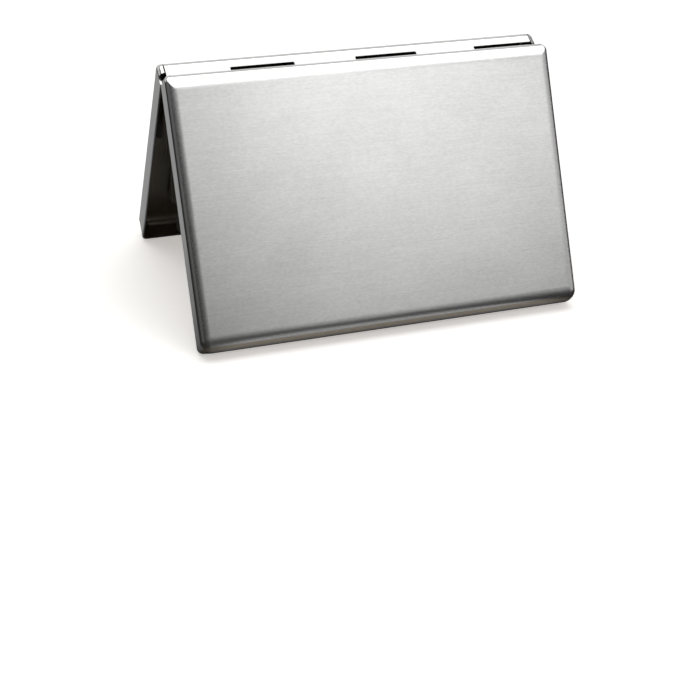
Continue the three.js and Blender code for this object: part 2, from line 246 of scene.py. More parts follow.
def prism(outline, c0, c1, bevel=0.0, axes=xpw, bevel_steps=3):
    """An outline with thickness and rounded edges, as a bmesh."""
    rings = []
    if bevel:
        profile = [(bevel * (1 - math.sin(t)), bevel * (1 - math.cos(t)))
                   for t in np.linspace(0, math.pi / 2, bevel_steps + 1)]
        for off, rise in profile:
            rings.append([axes(a, b, c0 + rise) for a, b in inset(outline, off)])
        for off, rise in reversed(profile):
            rings.append([axes(a, b, c1 - rise) for a, b in inset(outline, off)])
    else:
        rings = [[axes(a, b, c) for a, b in outline] for c in (c0, c1)]
    return loft(rings)


def on_latch_line(a, b, c):
    """Outline in x and w about the latch's middle line, thickness along p."""
    return (a, c, b + LATCH_LINE)


def box(x0, x1, p0, p1, w0, w1):
    return prism([(x0, p0), (x1, p0), (x1, p1), (x0, p1)], w0, w1)


def lathe(profile, x, w, steps=40):
    """A profile of (p, radius) turned about the line along p at x and w."""
    rings = []
    for p, radius in profile:
        rings.append([(x + radius * math.cos(t), p, w + radius * math.sin(t))
                      for t in np.linspace(0, 2 * math.pi, steps, endpoint=False)])
    return loft(rings)


def ellipsoid(rx, rp, rw, centre):
    """A ball stretched to three half-axes."""
    bm = bmesh.new()
    bmesh.ops.create_uvsphere(bm, u_segments=48, v_segments=24, radius=1)
    bm.transform(Matrix.Translation(centre) @ Matrix.Diagonal((rx, rp, rw, 1)))
    return bm


def as_object(name, *meshes):
    """One object made of several bmeshes, which are freed."""
    joined = bmesh.new()
    for bm in meshes:
        part = bpy.data.meshes.new(name)
        bm.to_mesh(part)
        bm.free()
        joined.from_mesh(part)
        bpy.data.meshes.remove(part)
    mesh = bpy.data.meshes.new(name)
    joined.to_mesh(mesh)
    joined.free()
    obj = bpy.data.objects.new(name, mesh)
    bpy.context.scene.collection.objects.link(obj)
    return obj


def boolean(obj, operation, *meshes):
    """Joins, cuts or intersects obj with one or more solids, and keeps the result as its mesh."""
    tool = as_object("tool", *meshes)
    modifier = obj.modifiers.new("boolean", "BOOLEAN")
    modifier.operation = operation
    modifier.solver = "EXACT"
    modifier.object = tool
    graph = bpy.context.evaluated_depsgraph_get()
    result = bpy.data.meshes.new_from_object(obj.evaluated_get(graph))
    obj.modifiers.clear()
    old = obj.data
    obj.data = result
    bpy.data.meshes.remove(old)
    bpy.data.objects.remove(tool)
    return obj


def clean(bm):
    """Merges points that a boolean left doubled and drops faces without area."""
    bmesh.ops.remove_doubles(bm, verts=bm.verts, dist=1e-4)
    bmesh.ops.dissolve_degenerate(bm, edges=bm.edges, dist=1e-5)


def finish_piece(obj, angle, material, node, body, mirror=False, finish=None, sharp=32.0,
                 weighted=True):
    """Stores each point's closed-frame place, moves the mesh to the row frame, hides the CAD part that it
    stands for.
    """
    mesh = obj.data
    bm = bmesh.new()
    bm.from_mesh(mesh)
    clean(bm)
    if mirror:
        bm.transform(Matrix.Diagonal((1, 1, -1, 1)))
        bmesh.ops.reverse_faces(bm, faces=bm.faces)
    bm.to_mesh(mesh)
    bm.free()
    closed = np.array([v.co for v in mesh.vertices], np.float32)
    mesh.attributes.new("closed", "FLOAT_VECTOR", "POINT").data.foreach_set("vector", closed.ravel())
    if finish:
        values = finish(closed).astype(np.float32)
        mesh.attributes.new("finish", "FLOAT", "POINT").data.foreach_set("value", values)
    layer = mesh.uv_layers.new(name="UVMap")
    for polygon in mesh.polygons:
        n = [abs(c) for c in polygon.normal]
        if n[2] >= max(n):
            pair = (0, 1)
        else:
            pair = (0, 2) if n[1] >= max(n) else (1, 2)
        for loop in polygon.loop_indices:
            at = closed[mesh.loops[loop].vertex_index]
            layer.data[loop].uv = (at[pair[0]] * MM, at[pair[1]] * MM)
    mesh.transform(place(angle))
    mesh.shade_smooth()
    mesh.set_sharp_from_angle(angle=math.radians(sharp))
    if weighted:
        modifier = obj.modifiers.new("normals", "WEIGHTED_NORMAL")
        modifier.keep_sharp = True
    mesh.materials.clear()
    mesh.materials.append(material)
    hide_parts(node)
    if isinstance(body, str):
        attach(obj, body)
    return obj


# ---------------------------------------------------------------- materials

class Look:
    """A node material on one Principled shader, with a few short ways of adding nodes."""

    def __init__(self, name, **sockets):
        self.material = bpy.data.materials.new(name)
        self.material.use_nodes = True
        self.tree = self.material.node_tree
        self.shader = next(n for n in self.tree.nodes if n.type == "BSDF_PRINCIPLED")
        for socket, value in sockets.items():
            self.shader.inputs[socket.replace("_", " ")].default_value = value

    def node(self, kind, links=None, **settings):
        made = self.tree.nodes.new("ShaderNode" + kind)
        for key, value in settings.items():
            setattr(made, key, value)
        for socket, value in (links or {}).items():
            if isinstance(value, bpy.types.NodeSocket):
                self.tree.links.new(value, made.inputs[socket])
            else:
                made.inputs[socket].default_value = value
        return made

    def closed(self, scale):
        """Closed-frame coordinates in mm, stretched by a scale for each axis."""
        at = self.node("Attribute", attribute_name="closed").outputs["Vector"]
        return self.node("VectorMath", {0: at, 1: scale}, operation="MULTIPLY").outputs["Vector"]

    def noise(self, scale, detail=3.0, roughness=0.55):
        return self.node("TexNoise", {
            "Vector": self.closed(scale), "Scale": 1.0, "Detail": detail, "Roughness": roughness,
        }).outputs["Fac"]

    def spread(self, value, low, high, to_low, to_high):
        return self.node("MapRange", {
            "Value": value, "From Min": low, "From Max": high, "To Min": to_low, "To Max": to_high,
        }).outputs["Result"]

    def maths(self, operation, a, b):
        return self.node("Math", {0: a, 1: b}, operation=operation).outputs[0]

    def colour(self, value, low, high):
        ramp = self.node("ValToRGB", {"Fac": value})
        ramp.color_ramp.elements[0].color = (*low, 1)
        ramp.color_ramp.elements[1].color = (*high, 1)
        return ramp.outputs["Color"]

    def bump(self, height, distance):
        return self.node("Bump", {"Height": height, "Strength": 1.0, "Distance": distance}).outputs["Normal"]

    def to(self, socket, value):
        self.tree.links.new(value, self.shader.inputs[socket])


def shell_steel():
    """Stainless sheet: brushed along x where "finish" is 1 and polished at 0. At -1 it is rougher and has
    painted shade: a darker, brown base colour for the shaded inside.
    """
    look = Look("shell_steel", Metallic=1.0, Anisotropic=0.55)
    look.to("Tangent", look.node("Tangent", direction_type="UV_MAP", uv_map="UVMap").outputs["Tangent"])
    finish = look.node("Attribute", attribute_name="finish").outputs["Fac"]
    brushed = look.spread(finish, 0.0, 1.0, 0.0, 1.0)
    dull_and_shaded = look.spread(finish, -1.0, 0.0, 1.0, 0.0)
    long_lines = look.noise((0.09, 9.0, 9.0), 3.0, 0.55)
    fine_lines = look.noise((0.5, 26.0, 26.0), 2.0, 0.5)
    lines = look.maths("ADD", look.maths("MULTIPLY", long_lines, 0.55),
                       look.maths("MULTIPLY", fine_lines, 0.45))
    clouds = look.noise((0.05, 0.07, 0.07), 3.0, 0.5)
    sand = look.noise((1.1, 2.4, 2.4), 3.0, 0.6)
    marks = look.maths("ADD", look.spread(lines, 0.3, 0.7, -0.45, 0.45),
                       look.spread(sand, 0.3, 0.7, -0.3, 0.3))
    tone = look.maths("ADD", look.maths("MULTIPLY", marks, brushed),
                      look.spread(clouds, 0.3, 0.7, 0.35, 0.65))
    bright = look.colour(tone, (0.53, 0.53, 0.525), (0.69, 0.69, 0.685))
    # Painted shade: the inside's darker, brown base colour stands in for the shaded floor that it reflects
    inner = look.colour(clouds, (0.38, 0.335, 0.27), (0.50, 0.445, 0.37))
    look.to("Base Color", look.node("Mix", {0: dull_and_shaded, 6: bright, 7: inner}, data_type="RGBA").outputs[2])
    line_roughness = look.spread(lines, 0.3, 0.7, 0.27, 0.36)
    plain_roughness = look.spread(clouds, 0.25, 0.75, 0.07, 0.12)
    mix = look.node("Mix", {0: brushed, 2: plain_roughness, 3: line_roughness}, data_type="FLOAT")
    look.to("Roughness", look.maths("ADD", mix.outputs[0], look.maths("MULTIPLY", dull_and_shaded, 0.25)))
    height = look.maths("ADD", look.maths("MULTIPLY", lines, brushed),
                        look.maths("MULTIPLY", look.noise((0.3, 0.3, 0.3), 2.0, 0.5), 0.4))
    look.to("Normal", look.bump(height, 0.0000022))
    return look.material


def bright_steel(name, tone, roughness, along=(1.0, 1.0, 1.0)):
    """Polished or rolled steel with fine marks, drawn out by the scale along."""
    look = Look(name, Metallic=1.0)
    marks = look.noise(tuple(3.0 * a for a in along), 4.0, 0.6)
    clouds = look.noise((0.4, 0.4, 0.4), 2.0, 0.5)
    low, high = tone
    look.to("Base Color", look.colour(clouds, (low, low, low), (high, high, high)))
    look.to("Roughness", look.spread(marks, 0.3, 0.7, roughness[0], roughness[1]))
    look.to("Normal", look.bump(marks, 0.000003))
    return look.material


def insert_plastic():
    """Black fine-grained plastic film."""
    look = Look("insert_plastic", IOR=1.42)
    grain = look.noise((5.0, 5.0, 5.0), 3.0, 0.6)
    clouds = look.noise((0.12, 0.12, 0.12), 3.0, 0.5)
    look.to("Base Color", look.colour(clouds, (0.018, 0.014, 0.010), (0.038, 0.030, 0.020)))
    look.to("Roughness", look.spread(grain, 0.3, 0.7, 0.38, 0.58))
    look.to("Normal", look.bump(grain, 0.00002))
    return look.material


def foam_tape():
    """Pale foam with open pores."""
    look = Look("tape", IOR=1.45)
    pores = look.noise((6.0, 6.0, 6.0), 4.0, 0.65)
    look.to("Base Color", look.colour(pores, (0.56, 0.54, 0.47), (0.80, 0.78, 0.71)))
    look.to("Roughness", look.spread(pores, 0.3, 0.7, 0.7, 0.9))
    look.to("Normal", look.bump(pores, 0.00004))
    return look.material


STEEL = shell_steel()
POLISHED = bright_steel("polished_steel", (0.68, 0.78), (0.08, 0.16))
SPRING = bright_steel("spring_steel", (0.44, 0.56), (0.18, 0.32), (0.05, 3.0, 3.0))
PLASTIC = insert_plastic()
TAPE = foam_tape()


# ---------------------------------------------------------------- shells

def eased_fillet(radius, steps):
    """A fillet that eases out of the face: its normal's turns, how far from the wall and how far down."""
    turns = np.linspace(0, math.pi / 2, steps + 1)
    middles = (turns[1:] + turns[:-1]) / 2
    bend = radius * (1 + EASE * np.clip(1 - middles / EASE_TURN, 0, 1) ** 2) * (turns[1] - turns[0])
    along = np.concatenate([[0], np.cumsum(bend * np.cos(middles))])
    drop = np.concatenate([[0], np.cumsum(bend * np.sin(middles))])
    return turns, along[-1] - along, drop


def shell_rings():
    """Rings of the tray: from the face down the outside to the rim, and back up the inside."""
    corner_steps = 12
    rim_arc = np.linspace(0, math.pi / 2, 4)

    def fillets(inset_by):
        """Stations down one skin: how far it stands back at its sides and at its long edges, and its w."""
        turns, edges, drops = eased_fillet(LONG_BEND, 36)
        side_turns, side_edges, side_drops = eased_fillet(SIDE_BEND, 90)
        side_at = side_edges + inset_by * np.sin(side_turns)
        side_w = SHELL_DEPTH - side_drops - inset_by * np.cos(side_turns)
        skin = []
        for turn, edge, drop in zip(turns, edges, drops):
            w = SHELL_DEPTH - drop - inset_by * math.cos(turn)
            side = float(np.interp(w, side_w[::-1], side_at[::-1]))
            skin.append((side, edge + inset_by * math.sin(turn), w))
        return skin

    stations = fillets(0)
    for a in rim_arc:
        off = RIM_ROUND * (1 - math.cos(a))
        stations.append((off, off, RIM + RIM_ROUND * (1 - math.sin(a))))
    for a in reversed(rim_arc):
        off = SHEET - RIM_ROUND * (1 - math.cos(a))
        stations.append((off, off, RIM + RIM_ROUND * (1 - math.sin(a))))
    stations += reversed(fillets(SHEET))
    rings = []
    foot = SHELL_DEPTH - LONG_FILLET
    for side, edge, w in stations:
        x = half_width - side
        set_back = (side + edge) / 2
        latch_corner = LATCH_RIM_CORNER + (LATCH_CORNER - LATCH_RIM_CORNER) * min(w / foot, 1)
        ring = rounded_rectangle(
            -x, x, hinge_wall + edge, latch_wall - edge,
            max(HINGE_CORNER - set_back, LEAST_CORNER), max(latch_corner - set_back, LEAST_CORNER),
            corner_steps)
        rings.append([(a, b, w) for a, b in ring])
    return rings


def curl(x0, x1):
    """A knuckle: the hinge wall's sheet rolled round the pin, its end just short of the wall."""
    outer, inner, steps = KNUCKLE_RADIUS, KNUCKLE_RADIUS - SHEET, 44
    outline = [(-outer, KNUCKLE_ROOT)] + arc(0, 0, outer, CURL_START, CURL_END, steps)
    outline += list(reversed(arc(0, 0, inner, CURL_START, CURL_END, steps)))
    outline.append((-inner, KNUCKLE_ROOT))
    return prism(outline, x0, x1, 0, hingewise)


def notch(x0, x1):
    """The cutter of one hinge notch, with round inner corners, seen from the hinge side."""
    centre = NOTCH_DEPTH - NOTCH_CORNER
    outline = [(x0, -1), (x1, -1)] + arc(x1 - NOTCH_CORNER, centre, NOTCH_CORNER, 0, 90, 6)
    outline += arc(x0 + NOTCH_CORNER, centre, NOTCH_CORNER, 90, 180, 6)
    return prism(outline, hinge_wall - 1, RIM, 0, latchwards)


def tray(name, first_knuckle):
    """A pressed shell with its three knuckles, its notches for the other shell's, and its two end slits."""
    obj = as_object(name, loft(shell_rings()))
    notches, curls = [], []
    for segment in range(KNUCKLE_COUNT):
        start = -hinge_half + segment * KNUCKLE_PITCH
        if segment % 2 == first_knuckle:
            curls.append(curl(start + KNUCKLE_END_GAP, start + KNUCKLE_PITCH - KNUCKLE_END_GAP))
        else:
            notches.append(notch(start - NOTCH_END_GAP, start + KNUCKLE_PITCH + NOTCH_END_GAP))
    for side in (-1, 1):
        near, far = side * (hinge_half - NOTCH_END_GAP), side * (half_width + 1)
        notches.append(box(min(near, far), max(near, far), hinge_wall - 1, RIM, -1, NOTCH_DEPTH))
        far = near + side * SLIT_WIDTH
        notches.append(box(min(near, far), max(near, far), hinge_wall - 1, hinge_wall + SLIT_REACH,
                           -1, SLIT_TOP))
    for cutter in notches:
        boolean(obj, "DIFFERENCE", cutter)
    boolean(obj, "UNION", *curls)
    return obj


def shell_finish(points):
    """1 on the brushed outer face, fading to 0 down its fillets, and -1 on the inside, which is rougher and
    has a painted shade.
    """
    x, p, w = np.abs(points[:, 0]), points[:, 1], np.abs(points[:, 2])
    side_fade, long_fade = 1.3, 1.9
    fade = np.where(x > half_width - SIDE_FILLET, side_fade, long_fade)
    outside = np.clip((w - (SHELL_DEPTH - fade)) / fade, 0, 1)
    near, past_hinge = 0.02, 2
    # The inside, which gets more roughness and a painted shade in its base colour
    inside = ((x < half_width - SHEET + near) & (p > past_hinge) & (p < latch_wall_inside + near)
              & (w < SHELL_DEPTH - SHEET + near) & (w > RIM + near))
    return np.where(inside, -1, outside)


def rivet_hole(side, p0, p1):
    """The cutter of a rivet's hole from p0 to p1."""
    radius = RIVET_SHANK + CLEARANCE
    return lathe([(p0, radius), (p1, radius)], side * RIVET_AT, LATCH_LINE)


def back_shell():
    """The tray with the bar's slot and the rivets' holes in its latch wall."""
    obj = tray("back_shell_pressing", 0)
    slot = prism(stadium(BAR_LENGTH + 2 * CLEARANCE, BAR_WIDTH + 2 * CLEARANCE), latch_wall_inside - 1,
                 latch_wall + 1, 0, on_latch_line)
    boolean(obj, "DIFFERENCE", slot)
    for side in (-1, 1):
        boolean(obj, "DIFFERENCE", rivet_hole(side, latch_wall_inside - 1, latch_wall + 1))
    return finish_piece(obj, HALF_OPEN, STEEL, "back_shell", "back_shell", finish=shell_finish)


def catch_dish(inset_by, p_end):
    """Half a dish pressed in from the latch wall, cut off at p_end, as a bmesh."""
    dish = as_object("dish", ellipsoid(CATCH_HALF_WIDTH - inset_by, CATCH_DEPTH - inset_by,
                                       CATCH_RISE - inset_by, (0, latch_wall, CATCH_CHORD)))
    side = CATCH_HALF_WIDTH + 1
    boolean(dish, "INTERSECT", box(-side, side, latch_wall - CATCH_DEPTH - 1, p_end, 0, CATCH_CHORD))
    bm = bmesh.new()
    bm.from_mesh(dish.data)
    bpy.data.objects.remove(dish)
    return bm


def front_shell():
    """The tray turned over, with a half-moon catch pressed inwards out of the latch wall."""
    obj = tray("front_shell_pressing", 1)
    boolean(obj, "UNION", catch_dish(0, latch_wall_inside + SHEET / 2))
    boolean(obj, "DIFFERENCE", catch_dish(SHEET, latch_wall + 1))
    return finish_piece(obj, -HALF_OPEN, STEEL, "front_shell", "front_shell",
                        mirror=True, finish=shell_finish)


front_shell()
back_shell()


# ---------------------------------------------------------------- hinge and latch

def hinge_pin():
    """A wire through the six knuckles."""
    end, round_off = hinge_half - KNUCKLE_END_GAP, 0.15
    outline = arc(0, 0, PIN_RADIUS, 0, 360, 32)[:-1]
    pin = as_object("hinge_pin_wire", prism(outline, -end, end, round_off, hingewise))
    finish_piece(pin, HALF_OPEN, POLISHED, "hinge_pin", "back_shell")


def release_bar():
    """The press bar that stands out of the latch wall."""
    bar = as_object("release_bar_solid", prism(
        stadium(BAR_LENGTH, BAR_WIDTH), spring_outside + CLEARANCE, latch_wall + BAR_PROUD, BAR_ROUND,
        on_latch_line, 6))
    finish_piece(bar, HALF_OPEN, POLISHED, "release_bar", "release_latch")


def rivet(side_name, x):
    """A turned rivet through the spring and the latch wall, with a domed head."""
    tail = spring_inside - CLEARANCE - RIVET_PLAY - RIVET_TAIL_HEIGHT
    head = latch_wall + CLEARANCE
    profile = [(tail + p, radius) for p, radius in RIVET_TAIL]
    profile += [(head + p, radius) for p, radius in RIVET_HEAD]
    profile += [(head + DOME_FOOT + DOME_RISE * math.sin(a), DOME_TOP_RADIUS + DOME_SPREAD * math.cos(a))
                for a in np.linspace(0.1, math.pi / 2, 10)]
    profile += [(head + p, radius) for p, radius in RIVET_DIMPLE]
    obj = as_object(f"rivet_{side_name}", lathe(profile, x, LATCH_LINE))
    finish_piece(obj, HALF_OPEN, POLISHED, f"latch_rivet_{side_name}", "back_shell")


def latch_spring():
    """A flat leaf spring riveted at both ends, as two flat halves that each run from the middle out past its
    rivet.
    """
    for side_name, side in (("left", -1), ("right", 1)):
        end = SPRING_LENGTH / 2
        radius = SPRING_WIDTH / 2
        count = 12
        top = [(x, radius) for x in np.linspace(end - radius, 0, count)]
        low = [(x, -radius) for x in np.linspace(0, end - radius, count)]
        outline = low[:-1] + arc(end - radius, 0, radius, -90, 90, 16) + top[1:]
        strip = as_object(f"spring_{side_name}", prism(
            outline, spring_inside, spring_outside, SPRING_ROUND,
            lambda a, b, c: (side * a, c, b + LATCH_LINE)))
        boolean(strip, "DIFFERENCE", rivet_hole(side, spring_inside - 1, spring_outside + 1))
        finish_piece(strip, HALF_OPEN, SPRING, "latch_spring", None, weighted=False)
        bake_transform(strip)


def latch_hook():
    """The plate behind the spring: its toe turns outwards past the rim, with round bends."""
    face = spring_inside - CLEARANCE
    back = face - HOOK_SHEET
    top = LATCH_LINE + SPRING_WIDTH / 2
    toe = -HOOK_REACH + HOOK_TOE_SHEET
    tip = back + HOOK_TOE - HOOK_ROUND
    outline = arc(back + HOOK_BEND + HOOK_ROUND, -HOOK_REACH + HOOK_BEND + HOOK_ROUND, HOOK_BEND + HOOK_ROUND,
                  180, 270, 6)
    outline += arc(tip, -HOOK_REACH + HOOK_ROUND, HOOK_ROUND, -90, 0, 3)
    outline += arc(tip, toe - HOOK_ROUND, HOOK_ROUND, 0, 90, 3)
    outline += list(reversed(arc(face + HOOK_BEND, toe + HOOK_BEND, HOOK_BEND, 180, 270, 5)))
    outline += [(face, top), (back, top)]
    hook = as_object("latch_hook_plate", prism(outline, -HOOK_WIDTH / 2, HOOK_WIDTH / 2, 0.05, hingewise))
    finish_piece(hook, HALF_OPEN, SPRING, "latch_hook", "release_latch")


hinge_pin()
release_bar()
rivet("left", -RIVET_AT)
rivet("right", RIVET_AT)
latch_spring()
latch_hook()


# ---------------------------------------------------------------- card insert

def leaf_outline(reach):
    """Ears as wide as the case near the hinge, a narrower tongue to the mouth, and a thumb cut-out."""
    ear, tongue = EAR_HALF_WIDTH, LEAF_HALF_WIDTH
    points = [(-ear, LEAF_START), (ear, LEAF_START)]
    points += arc(ear - EAR_CORNER, reach - EAR_CORNER, EAR_CORNER, 0, 90, 8)
    points += [(tongue, reach)]
    points += arc(tongue - LEAF_CORNER, LEAF_MOUTH - LEAF_CORNER, LEAF_CORNER, 0, 90, 12)
    points += list(reversed(arc(0, LEAF_MOUTH, THUMB_RADIUS, 180, 360, 36)))
    points += arc(-tongue + LEAF_CORNER, LEAF_MOUTH - LEAF_CORNER, LEAF_CORNER, 90, 180, 12)
    points += [(-tongue, reach)]
    points += arc(-ear + EAR_CORNER, reach - EAR_CORNER, EAR_CORNER, 90, 180, 8)
    return points


def leaf(name, node, body, angle, reach, w0, w1):
    """One sheet of the insert from w0 to w1, its ears reaching to reach."""
    round_off = 0.08
    obj = as_object(name, prism(leaf_outline(reach), w0, w1, round_off))
    finish_piece(obj, angle, PLASTIC, node, body)


def leaf_angle(index):
    """The angle a leaf hangs at, leaf 0 being the front panel and the last one the back panel."""
    return -HALF_OPEN + index * leaf_step


def leaf_offset(index):
    """The w of a leaf's middle."""
    return (index - POCKETS / 2) * LEAF_PITCH


def pocket_half_gap(index, p):
    """Half the room between the leaves of a pocket at p, less a clearance."""
    if index in (1, POCKETS):
        closed_gap = PANEL_INNER_FACE - (POCKETS / 2 - 1) * LEAF_PITCH - LEAF_THICKNESS / 2
    else:
        closed_gap = LEAF_PITCH - LEAF_THICKNESS
    return closed_gap / 2 + p * math.tan(leaf_step / 2) - CLEARANCE


def pocket_middle(index):
    """The w midway between the leaves of a pocket."""
    if index == 1:
        return (leaf_offset(1) - LEAF_THICKNESS / 2 - PANEL_INNER_FACE) / 2
    if index == POCKETS:
        return (leaf_offset(POCKETS - 1) + LEAF_THICKNESS / 2 + PANEL_INNER_FACE) / 2
    return (leaf_offset(index - 1) + leaf_offset(index)) / 2


def pleat(index, start, end, side):
    """One side pleat: a folded sheet whose round ridge points inwards, wider and deeper towards the mouth."""
    rings = []
    for p in np.linspace(start, end, 14):
        gap = pocket_half_gap(index, p)
        ridge = gap * GUSSET_RIDGE
        fold = min(PLEAT_ROUND, PLEAT_ROUND_SHARE * gap)
        centre = []
        for t in np.linspace(-1, 1, 17):
            spread = t * gap
            depth = ridge * (1 - math.sqrt(t * t + (fold / gap) ** 2) / math.sqrt(1 + (fold / gap) ** 2))
            centre.append((depth, spread))
        line = np.array(centre)
        tangent = np.gradient(line, axis=0)
        tangent /= np.linalg.norm(tangent, axis=1)[:, None]
        normal = np.stack([tangent[:, 1], -tangent[:, 0]], 1) * GUSSET_SHEET / 2
        outer, inner = line - normal, line + normal
        outer[:, 1] = np.clip(outer[:, 1], -gap, gap)
        inner[:, 1] = np.clip(inner[:, 1], -gap, gap)
        section = list(outer) + list(reversed(inner))
        middle = pocket_middle(index)
        rings.append([(side * (-GUSSET_EDGE + GUSSET_SHEET / 2 + a), p, middle + b) for a, b in section])
    return loft(rings)


def gusset(index):
    """A pocket's two side pleats, joined by a strip along its foot."""
    start = LEAF_START + CLEARANCE
    end = min(EAR_REACH[index - 1], EAR_REACH[index]) - EAR_CORNER
    half = pocket_half_gap(index, start) - GUSSET_SHEET / 4
    middle = pocket_middle(index)
    edge = GUSSET_EDGE - GUSSET_SHEET
    strip = box(-edge, edge, start, start + GUSSET_SHEET, middle - half, middle + half)
    obj = as_object(f"pleat_{index}", strip)
    for side in (1, -1):
        boolean(obj, "UNION", pleat(index, start + GUSSET_SHEET / 2, end, side))
    angle = (leaf_angle(index - 1) + leaf_angle(index)) / 2
    finish_piece(obj, angle, PLASTIC, f"gusset_{index}", None, weighted=False, sharp=40.0)
    gap = pocket_half_gap(index, end)
    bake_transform(obj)


def tape_pad(name, node, body, angle, side):
    """The foam tape between a panel and its shell."""
    round_off = 0.06
    outer = SHELL_DEPTH - SHEET - CLEARANCE
    w0, w1 = sorted((side * (outer - TAPE_THICKNESS), side * outer))
    width, length = TAPE_SIZE
    outline = rounded_rectangle(
        -width / 2, width / 2, TAPE_CENTRE - length / 2, TAPE_CENTRE + length / 2,
        TAPE_CORNER, TAPE_CORNER, 4)
    obj = as_object(name, prism(outline, w0, w1, round_off))
    finish_piece(obj, angle, TAPE, node, body)


panel_outer_face = PANEL_INNER_FACE + PANEL_THICKNESS
leaf("front_panel_sheet", "front_panel", "front_shell", -HALF_OPEN, EAR_REACH[0],
     -panel_outer_face, -PANEL_INNER_FACE)
leaf("back_panel_sheet", "back_panel", "back_panel", HALF_OPEN, EAR_REACH[POCKETS],
     PANEL_INNER_FACE, panel_outer_face)
for number in range(1, POCKETS):
    offset = leaf_offset(number)
    leaf(f"leaf_{number}_sheet", f"leaf_{number}", f"leaf_{number}", leaf_angle(number), EAR_REACH[number],
         offset - LEAF_THICKNESS / 2, offset + LEAF_THICKNESS / 2)
for number in range(1, POCKETS + 1):
    gusset(number)
tape_pad("front_tape_pad", "front_tape", "front_shell", -HALF_OPEN, -1)
tape_pad("back_tape_pad", "back_tape", "back_shell", HALF_OPEN, 1)


# ---------------------------------------------------------------- floor, light and camera

# One soft front light in five panels, brighter towards its top: (x, z, power), in metres and watts
SOFTBOX_Y = -0.319
SOFTBOX_AIM = (0, -0.02, 0.03)
SOFTBOX_PANEL = (0.13, 0.085)
SOFTBOX_PANELS = ((0.106, 0.12, 0.0214), (0.106, 0.21, 0.0444), (0.106, 0.30, 0.0725),
                  (0.24, 0.21, 0.0288), (0.24, 0.30, 0.0436))
# A wide light overhead, which the steel doesn't see
OVERHEAD_HEIGHT = 2.8
OVERHEAD_SIZE = (2.4, 2.4)
OVERHEAD_POWER = 43.0

FLOOR_GLOW = (1.0, 0.955, 0.91, 1)
FLOOR_GLOW_STRENGTH = 0.46
# The tone and the glow of the floor that the steel sees: a painted reflection, darker than the floor that the
# eye sees
SEEN_TONE = 0.40
SEEN_GLOW = 0.14
# Painted reflection: past a line on either side, where slope * y - |x| = at, in metres, the floor that the
# steel sees is painted dark
SIDE_DARK_SLOPE = 0.42
SIDE_DARK_AT = -0.0607
SIDE_DARK_BLUR = 0.005
SIDE_DARK_TONE = 0.09
# Painted shade: the floor that the steel sees is dark between the two shells, under the case
BETWEEN_HALF_WIDTH = 0.047
BETWEEN_HALF_DEPTH = 0.0275
BETWEEN_FADE = (0.92, 1.04)
BETWEEN_TONE = 0.35
# Painted contact shadow: the floor that the steel sees is darkest along the rims that the case stands on
CONTACT_Y = 0.0312
CONTACT_END = 0.0445
CONTACT_FADE = (0.0012, 0.0052)
CONTACT_TONE = 0.04

ROOM_LIGHT = 0.28
BACKGROUND = 1.2
# The room that the steel sees: its strength, and its tone by height, from 0 just below level to 1 overhead
ROOM_STRENGTH = 3.0
ROOM_LOWEST = -0.2
ROOM_BY_HEIGHT = ((0.0, 0.01), (0.5, 0.01), (0.735, 0.03), (0.795, 1.0), (0.87, 1.0), (0.90, 0.57))
# Behind the case and beside it the room is light down to the floor: (axis, start, end, tone)
ROOM_LEFT = ("X", -0.6, -0.85, 0.05)
ROOM_RIGHT = ("X", 0.7, 0.9, 0.02)
ROOM_BEHIND = ("Y", 0.35, 0.6, 0.27)
ROOM_FRONT_RIGHT = (("X", 0.57, 0.67, 0.22), ("Y", -0.14, -0.3, 0.22))

CAMERA_AT = (-0.11377, -0.31006, 0.17574)
CAMERA_AZIMUTH = math.radians(-20.358)
CAMERA_ELEVATION = math.radians(31.235)
CAMERA_ROLL = math.radians(2.374)
CAMERA_LENS = 73.57


def node_maker(tree):
    """A short way of adding nodes: values go to the inputs in order, and the first output comes back."""
    def node(kind, *values, **settings):
        made = tree.nodes.new("ShaderNode" + kind)
        for key, value in settings.items():
            setattr(made, key, value)
        for socket, value in zip(made.inputs, values):
            if isinstance(value, bpy.types.NodeSocket):
                tree.links.new(value, socket)
            else:
                socket.default_value = value
        return made.outputs[0]
    return node


def first_node(tree, kind):
    return next(n for n in tree.nodes if n.type == kind)


